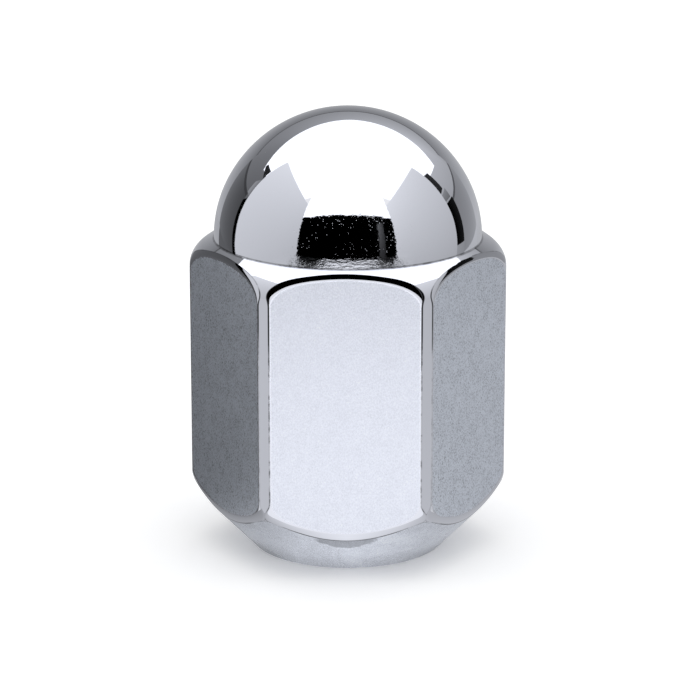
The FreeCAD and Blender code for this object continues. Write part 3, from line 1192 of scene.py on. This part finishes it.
@dataclass
class LugNut:
    """The whole nut, one piece of plated steel.

    Attributes:
        columns: columns of faces in a half sector.
        crease_z: height of the crease under the dome.
        mouth_r: radius of the countersunk mouth.
    """

    columns: int = 14
    crease_z: float = 23.75
    mouth_r: float = 6.3

    def outline(self) -> Outline:
        """Returns the nut's turned outline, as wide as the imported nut."""
        return Outline(corner_r=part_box("lug_nut")[1][0] / MM, crease_z=self.crease_z)

    def build(self) -> bpy.types.Object:
        """Builds the nut's mesh from the frame's box.

        Returns:
            The nut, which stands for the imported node.
        """
        low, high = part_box("lug_nut")
        outline = self.outline()
        turns = np.linspace(0.0, HALF_SECTOR, self.columns + 1)
        shell = Shell()
        strip_end, rim_z = WrenchFlats(high[1] / MM, outline, self.columns).build(shell)
        Dome(outline, (high[2] - low[2]) / MM - self.crease_z).build(shell, strip_end, turns)
        SeatEnd(outline, self.mouth_r).build(shell, rim_z, turns)
        ThreadedBore(self.mouth_r).build(shell, self.columns)
        nut = put(bpy.data.objects.new("nut_shell", shell.mesh("nut_shell")))
        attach(nut, "root")
        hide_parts("lug_nut")
        return nut

    def dress(self, nut: bpy.types.Object, effects: Effects) -> None:
        """Gives each skin of the nut its finish.

        Args:
            nut: the nut.
            effects: the shared node groups.
        """
        finishes = {
            Skin.PLATE: PlateFinish(self.crease_z),
            Skin.SEAT: SeatFinish(self.outline().rim()),
            Skin.THREAD: ThreadFinish(),
        }
        for skin in Skin:
            nut.data.materials.append(finishes[skin].material(effects))


@dataclass(frozen=True)
class Card:
    """A studio card with four corners that only mirror reflections see.

    Attributes:
        name: its name.
        corners: its corners in order round it, in millimetres.
        glows: how bright it is at each corner.
        wave: how far its upper side is ragged, in millimetres.
        curved: whether the corners are given as radius, direction in degrees and height.
        steps: faces along each side.
    """

    name: str
    corners: tuple[Point, Point, Point, Point]
    glows: Four
    wave: float = 0.0
    curved: bool = False
    steps: int = 12

    @classmethod
    def upright(cls, name: str, ends: Four, heights: Four, glows: Four, wave: float = 0.0) -> "Card":
        """Makes an upright card.

        Args:
            name: its name.
            ends: across and along of its first end and of its second end.
            heights: its foot and top at the first end, and its foot and top at the second end.
            glows: its brightness at the first foot, second foot, second top and first top.
            wave: how far its top is ragged.

        Returns:
            The card.
        """
        x0, y0, x1, y1 = ends
        foot0, top0, foot1, top1 = heights
        return cls(name, ((x0, y0, foot0), (x1, y1, foot1), (x1, y1, top1), (x0, y0, top0)), glows, wave)

    @classmethod
    def level(cls, name: str, height: float, places: tuple[float, ...], glows: Four) -> "Card":
        """Returns a level card, placed by across and along of its four corners."""
        return cls(name, tuple((x, y, height) for x, y in zip(places[::2], places[1::2])), glows)

    def _spread(self, values: Array) -> Array:
        """Spreads values over the card's grid of points.

        Args:
            values: the four corners' values.

        Returns:
            The value at each point.
        """
        share = np.linspace(0.0, 1.0, self.steps + 1)
        first, second = np.meshgrid(share, share, indexing="ij")
        weights = [(1 - first) * (1 - second), first * (1 - second), first * second, (1 - first) * second]
        return sum(weight.reshape(-1, 1) * value for weight, value in zip(weights, values))

    def build(self, tint: Four) -> bpy.types.Object:
        """Builds the card as a stage object.

        Args:
            tint: the colour of its light.

        Returns:
            The card.
        """
        points = self._spread(np.array(self.corners))
        if self.curved:
            points = polar(points[:, 0], np.radians(points[:, 1]), points[:, 2])
        side = self.steps + 1
        if self.wave:
            ragged = [math.sin(2.7 * i) + 0.7 * math.sin(5.9 * i + 1.0) for i in range(side)]
            points.reshape(side, side, 3)[:, -1, 2] += self.wave * np.array(ragged)
        index = np.arange(side * side).reshape(side, side)
        quads = np.stack([index[:-1, :-1], index[1:, :-1], index[1:, 1:], index[:-1, 1:]], axis=-1)
        mesh = bpy.data.meshes.new(self.name)
        mesh.from_pydata((points * MM).tolist(), [], quads.reshape(-1, 4).tolist())
        glow = mesh.attributes.new("glow", "FLOAT", "POINT")
        glow.data.foreach_set("value", self._spread(np.array(self.glows)).reshape(-1).astype(np.float32))
        mesh.materials.append(self._material(tint))
        card = put(bpy.data.objects.new(self.name, mesh))
        for ray in ("camera", "diffuse", "shadow", "transmission", "volume_scatter"):
            setattr(card, f"visible_{ray}", False)
        return card

    def _material(self, tint: Four) -> bpy.types.Material:
        """Builds the card's glow from the brightness at its points.

        Args:
            tint: the colour of its light.

        Returns:
            The material.
        """
        material, tree = stage_material(self.name)
        glow = tree.out("ShaderNodeAttribute", "Fac", attribute_name="glow")
        light = tree.out("ShaderNodeEmission", Color=tint, Strength=glow)
        tree.node("ShaderNodeOutputMaterial", Surface=light)
        return material


def stage_material(name: str) -> tuple[bpy.types.Material, Tree]:
    """Makes an empty material for the floor or a card.

    Args:
        name: its name.

    Returns:
        The material and its tree.
    """
    material = bpy.data.materials.new(name)
    material.use_nodes = True
    material.node_tree.nodes.clear()
    return material, Tree(material.node_tree)


def grey(value: float) -> Four:
    """Returns a grey as a colour."""
    return (value, value, value, 1.0)


@dataclass
class Studio:
    """The light tent: pale floor, soft light, cards for the mirror finish, and the camera.

    Lengths are millimetres. The tent is closed, so that a reflection always meets a card.

    Attributes:
        roof: height of the white roof.
        front: distance of the dark front behind the camera's sight.
        side: distance of the side cards.
        rear: distance of the rear wall.
        far: distance of the walls behind the gaps.
        far_top: height of those walls.
        lift: height of the cards that lie on the floor.
        dark_lift: height of the dark cards that lie over them.
        white: brightness of the roof and of the front's upper part.
        tint: colour of the cards' light.
        floor_size: length of the floor's side, in metres.
        floor_grey: grey of the floor.
        floor_extra: how much lighter the camera sees it.
        floor_glow: and how much it glows there.
        mirrored_grey: grey of the floor in reflections.
        mirrored_glow: how much it glows there.
        sky: level of the light from all round.
        sun: level of the soft light from above.
        sun_spread: angle over which that light is spread.
        camera_distance: distance of the camera from the point it looks at.
        camera_elevation: how far above level the camera stands.
        camera_azimuth: how far to the side it stands.
        aim_height: height of the point it looks at.
        aim_aside: how far that point lies to the side.
        lens: the camera's focal length on a 36 mm sensor.
    """

    roof: float = 158.0
    front: float = 100.0
    side: float = 87.0
    rear: float = 142.0
    far: float = 186.0
    far_top: float = 320.0
    lift: float = 0.3
    dark_lift: float = 0.5
    white: float = 1.5
    tint: Four = (0.985, 1.0, 1.04, 1.0)
    floor_size: float = 2.4
    floor_grey: float = 0.9
    floor_extra: float = 0.18
    floor_glow: float = 0.08
    mirrored_grey: float = 0.42
    mirrored_glow: float = 0.34
    sky: float = 0.8
    sun: float = 0.6
    sun_spread: float = math.radians(70.0)
    camera_distance: float = 259.0
    camera_elevation: float = math.radians(16.0)
    camera_azimuth: float = math.radians(1.0)
    aim_height: float = 14.88
    aim_aside: float = 0.157
    lens: float = 176.4

    def roof_cards(self) -> list[Card]:
        """Lists the white roof, whose rear edge is drawn in at the left, and the front under it.

        Returns:
            The cards.
        """
        h, f, s, white = self.roof, self.front, self.side, (self.white,) * 4
        return [
            Card.level("roof_right", h, (0, -f, 185, -f, 185, 137, 0, 139), white),
            Card.level("roof_left", h, (0, -f, -185, -f, -185, 98, 0, 139), white),
            Card.upright("lintel", (-s, -f, s, -f), (92, h, 92, h), white),
        ]

    def front_cards(self) -> list[Card]:
        """Lists the grey side cards, and between them the dark front with its bar and its sills.

        Returns:
            The cards.
        """
        f, s, black, dim = self.front, self.side, (0.0,) * 4, (0.02,) * 4
        rows = (
            ("left_card", (-s, -f, -s, 24), (0, 132, 0, 134.5), (0.52, 0.66, 0.90, 0.73)),
            ("right_card", (s, -f, s, 19), (0, 129.5, 0, 123), (0.58, 0.45, 0.80, 0.88)),
            ("dark_front", (-s, -f, s, -f), (16, 92, 16, 92), black, 1.4),
            ("front_pole", (50, 1 - f, 61, 1 - f), (18, 76, 16, 78), (0.03, 0.02, 0.05, 0.15)),
            ("front_sill", (-36, -f, 48, -f), (0, 16, 0, 16), (0.95, 0.95, 0.85, 0.85), 1.2),
            ("left_sill", (-s, -f, -36, -f), (0, 16, 0, 16), dim),
            ("right_sill", (48, -f, s, -f), (0, 16, 0, 16), dim),
        )
        return [Card.upright(*row) for row in rows]

    def rear_cards(self) -> list[Card]:
        """Lists the grey walls behind the nut and what shows in the gaps between them.

        Returns:
            The cards.
        """
        b, f, t = self.rear, self.far, self.far_top
        rows = (
            ("rear_wall", (-111, b, 105, b), (0, 90, 0, 90), (0.46, 0.54, 0.25, 0.20)),
            ("rear_seam", (-111, b, 105, b), (90, 94, 90, 94), (0.10, 0.13, 0.13, 0.10)),
            ("left_rear_wall", (-94, 33, -111, b), (0, 56, 0, 78), (0.09, 0.19, 0.17, 0.07)),
            ("left_rear_seam", (-94, 33, -111, b), (56, 60, 78, 84), (0.05, 0.08, 0.08, 0.05)),
            ("right_rear_wall", (94, 40, 105, b), (0, 50, 0, 72), (0.28, 0.40, 0.30, 0.24)),
            ("right_rear_seam", (94, 40, 105, b), (50, 53, 72, 77), (0.10, 0.14, 0.14, 0.10)),
            ("left_far_wall", (-f, 30, -f, 215), (0, t, 0, t), (0.10, 0.15, 0.27, 0.21)),
            ("far_wall", (-f, 215, f, 215), (0, t, 0, t), (0.15, 0.26, 0.79, 0.27)),
            ("right_far_wall", (f, 20, f, 215), (0, t, 0, t), (0.26, 0.26, 0.77, 0.81)),
            ("left_gap_low", (-87, 24.5, -89, 33), (0, 55, 0, 50), (0.0, 0.0, 0.0, 0.0)),
            ("left_flap", (-87, 25, -90, 34), (57, 80, 60, 74), (0.24, 0.34, 0.34, 0.24)),
            ("left_gap_high", (-87, 25, -94, 50), (82, 97, 98, 103), (0.02, 0.02, 0.02, 0.02)),
            ("right_gap_low", (87, 19, 91, 40), (12, 52, 11, 54), (0.0, 0.01, 0.01, 0.0)),
            ("right_gap_foot", (87, 19, 91, 40), (0, 12, 0, 11), (0.34, 0.30, 0.30, 0.34)),
            ("right_clamp", (87, 19, 90, 36), (54, 62, 55, 66), (0.18, 0.16, 0.28, 0.28)),
            ("right_gap_high", (87, 19, 90, 31), (64, 96, 68, 96), (0.02, 0.02, 0.04, 0.02)),
        )
        return [Card.upright(*row) for row in rows]

    def floor_cards(self) -> list[Card]:
        """Lists the floor as the flats and corners show it.

        Returns:
            The cards.
        """
        f, s, z, dark = self.front, self.side, self.lift, self.dark_lift
        rows = (
            ("left_front_floor", z, (-10, -9, -s, 8, -s, -f, -42, -f), (0.62, 0.62, 0.6, 0.6)),
            ("right_front_floor", z, (10, -9, s, 2, s, -f, 42, -f), (0.60, 0.5, 0.6, 0.6)),
            ("front_floor", z, (-10, -12, -42, -f, 42, -f, 10, -12), (0.96, 1.15, 1.15, 0.96)),
            ("left_dark_floor", dark, (-22, -62, -33, -f, -s, -f, -41.6, -52), (0.03, 0.02, 0.02, 0.03)),
            ("right_dark_floor", dark, (22, -62, 33, -f, s, -f, 41.6, -52), (0.03, 0.02, 0.02, 0.03)),
            ("left_rear_floor", z, (-17, -4, -100, 0, -125, 150, -18, 17), (0.13, 0.11, 0.12, 0.13)),
            ("right_rear_floor", z, (17, -4, 100, -2, 118, 150, 18, 17), (0.465, 0.485, 0.57, 0.465)),
            ("rear_floor", z, (-18, 17, 18, 17, 118, 150, -125, 150), (0.4, 0.45, 0.55, 0.42)),
        )
        return [Card.level(*row) for row in rows]

    def contact_shadow_cards(self) -> list[Card]:
        """Lists rings of painted contact shadow on the floor close round the nut, dark at its foot, that
        its seat shows in reflection.

        Returns:
            The cards.
        """
        rings = ((7.22, 0.02), (8.4, 0.3), (12.0, 0.4), (18.0, 0.5))
        shades = (
            (-230, (0.20, 0.36, 0.25, 0.14)),
            (-140, (0.28, 0.50, 0.42, 0.36)),
            (-120, (0.48, 0.66, 0.62, 0.62)),
            (-90, (0.48, 0.76, 0.96, 0.96)),
            (-60, (0.47, 0.66, 0.66, 0.62)),
            (-40, (0.32, 0.56, 0.54, 0.50)),
            (50, (0.30, 0.50, 0.50, 0.42)),
        )
        cards = []
        for (first, ends), (second, others) in zip(shades, shades[1:]):
            for i, ((near, low), (far, high)) in enumerate(zip(rings, rings[1:])):
                corners = ((near, first, low), (near, second, low), (far, second, high), (far, first, high))
                glows = (ends[i], others[i], others[i + 1], ends[i + 1])
                cards.append(Card(f"near_floor_{len(cards)}", corners, glows, curved=True))
        return cards

    def build_floor(self) -> bpy.types.Object:
        """Builds the pale floor, which the camera sees white outside the nut's soft shadow.

        Returns:
            The floor.
        """
        half = self.floor_size / 2
        corners = [(-half, -half, 0), (half, -half, 0), (half, half, 0), (-half, half, 0)]
        mesh = bpy.data.meshes.new("floor")
        mesh.from_pydata(corners, [], [(0, 1, 2, 3)])
        floor = put(bpy.data.objects.new("floor", mesh))
        material, tree = stage_material("pale_floor")
        path = tree.node("ShaderNodeLightPath")
        camera, glossy = (Output(tree, path.outputs[f"Is {ray} Ray"]) for ray in ("Camera", "Glossy"))
        greys = (self.floor_grey, self.floor_extra, self.mirrored_grey)
        plain, extra, dim = (tree.out("ShaderNodeBsdfDiffuse", Color=grey(value)) for value in greys)
        faint = tree.out("ShaderNodeEmission", Color=grey(1.0), Strength=self.floor_glow)
        glow = tree.out("ShaderNodeEmission", Color=self.tint, Strength=self.mirrored_glow)
        lit = tree.out("ShaderNodeAddShader", in0=plain, in1=extra)
        bright = tree.out("ShaderNodeAddShader", in0=lit, in1=faint)
        mirrored = tree.out("ShaderNodeAddShader", in0=dim, in1=glow)
        others = tree.out("ShaderNodeMixShader", in0=glossy, in1=plain, in2=mirrored)
        seen = tree.out("ShaderNodeMixShader", in0=camera, in1=others, in2=bright)
        tree.node("ShaderNodeOutputMaterial", Surface=seen)
        mesh.materials.append(material)
        return floor

    def build_world(self) -> None:
        """Builds a plain white surround: light from all round, and white where it is seen."""
        world = bpy.data.worlds.new("white_surround")
        bpy.context.scene.world = world
        world.use_nodes = True
        world.node_tree.nodes.clear()
        tree = Tree(world.node_tree)
        path = tree.node("ShaderNodeLightPath")
        rays = ("Camera", "Glossy", "Transmission")
        camera, glossy, through = (Output(tree, path.outputs[f"Is {ray} Ray"]) for ray in rays)
        seen = camera.math("MAXIMUM", glossy).math("MAXIMUM", through)
        light = tree.out("ShaderNodeBackground", Color=grey(1.0), Strength=seen.blend(self.sky, 1.0))
        tree.node("ShaderNodeOutputWorld", Surface=light)

    def build_lamp(self) -> bpy.types.Object:
        """Builds the soft light from above.

        Returns:
            The lamp.
        """
        data = bpy.data.lights.new("roof_lamp", "SUN")
        data.energy = self.sun
        data.angle = self.sun_spread
        lamp = put(bpy.data.objects.new("roof_lamp", data))
        lamp.location = (0.0, 0.0, 0.5)
        lamp.visible_glossy = False
        return lamp

    def build_camera(self) -> bpy.types.Object:
        """Builds the camera at the photograph's distance and angle.

        Returns:
            The camera.
        """
        a, e = self.camera_azimuth, self.camera_elevation
        back = Vector((math.sin(a) * math.cos(e), -math.cos(a) * math.cos(e), math.sin(e)))
        aside = Vector((math.cos(a), math.sin(a), 0.0))
        aim = (Vector((0.0, 0.0, self.aim_height)) + aside * self.aim_aside) * MM
        data = bpy.data.cameras.new("camera")
        data.sensor_width = 36.0
        data.lens = self.lens
        data.clip_start, data.clip_end = 0.02, 20.0
        camera = put(bpy.data.objects.new("camera", data))
        camera.location = aim + back * self.camera_distance * MM
        camera.rotation_mode = "QUATERNION"
        camera.rotation_quaternion = (-back).to_track_quat("-Z", "Y")
        bpy.context.scene.camera = camera
        return camera

    def build(self) -> int:
        """Builds the whole studio.

        Returns:
            How many cards it has.
        """
        self.build_floor()
        self.build_world()
        self.build_lamp()
        self.build_camera()
        lists = (self.roof_cards, self.front_cards, self.rear_cards, self.floor_cards, self.contact_shadow_cards)
        cards = [card.build(self.tint) for listed in lists for card in listed()]
        return len(cards)


def main() -> None:
    """Builds the nut and its studio."""
    bpy.context.scene.view_settings.view_transform = "Standard"
    effects = Effects()
    maker = LugNut()
    nut = maker.build()
    maker.dress(nut, effects)
    LOG.info("%s: %d points, %d faces", nut.name, len(nut.data.vertices), len(nut.data.polygons))
    LOG.info("studio: %d cards", Studio().build())
    bpy.context.view_layer.update()


if __name__ == "__main__":
    logging.basicConfig(level=logging.INFO, format="%(name)s: %(message)s")
    main()
